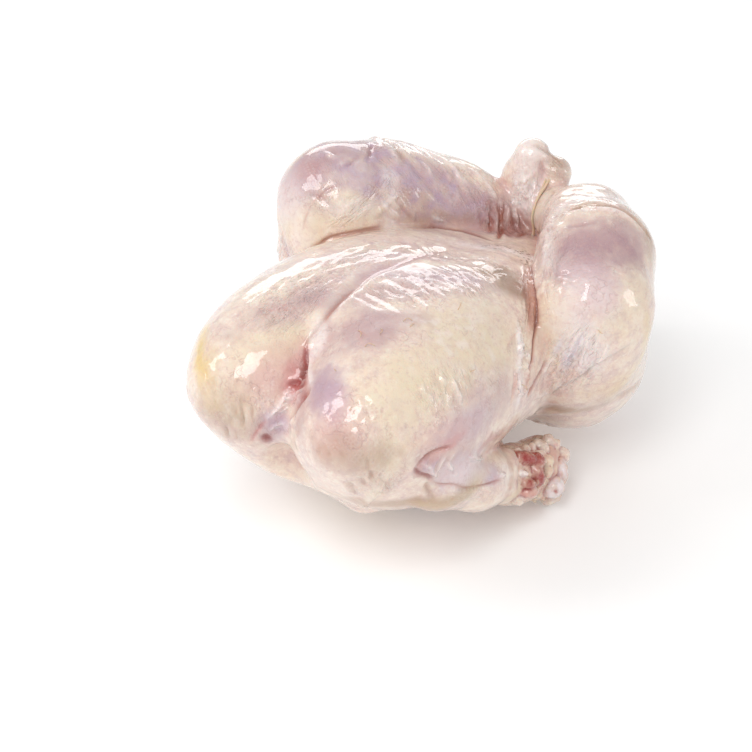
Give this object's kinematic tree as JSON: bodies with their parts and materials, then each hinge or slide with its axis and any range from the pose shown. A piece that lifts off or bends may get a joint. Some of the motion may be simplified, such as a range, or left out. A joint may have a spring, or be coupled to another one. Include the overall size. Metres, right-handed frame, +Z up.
{
  "type": "whole raw chicken",
  "caption": "Whole raw oven-ready chicken lying on its back, legs folded and tied at the ankles, wings cut at the elbow; for kitchens, shops and cold displays.",
  "frame": {"origin": "middle of the bird's length and width, on the surface it lies on", "axes": "+Y from the neck end to the tail, +X the bird's right side, +Z up through the breast; the bird lies on its back"},
  "size_m": [0.1714, 0.2306, 0.1194],
  "materials": {
    "skin": "wet raw poultry skin: pale cream-pink with mauve flesh and yellow fat showing through, glossy and finely pored",
    "tie": "thin pale tan elastic band, dull"
  },
  "bodies": {
    "root": {"chicken": "skin", "ankle_tie": "tie"}
  },
  "joints": []
}
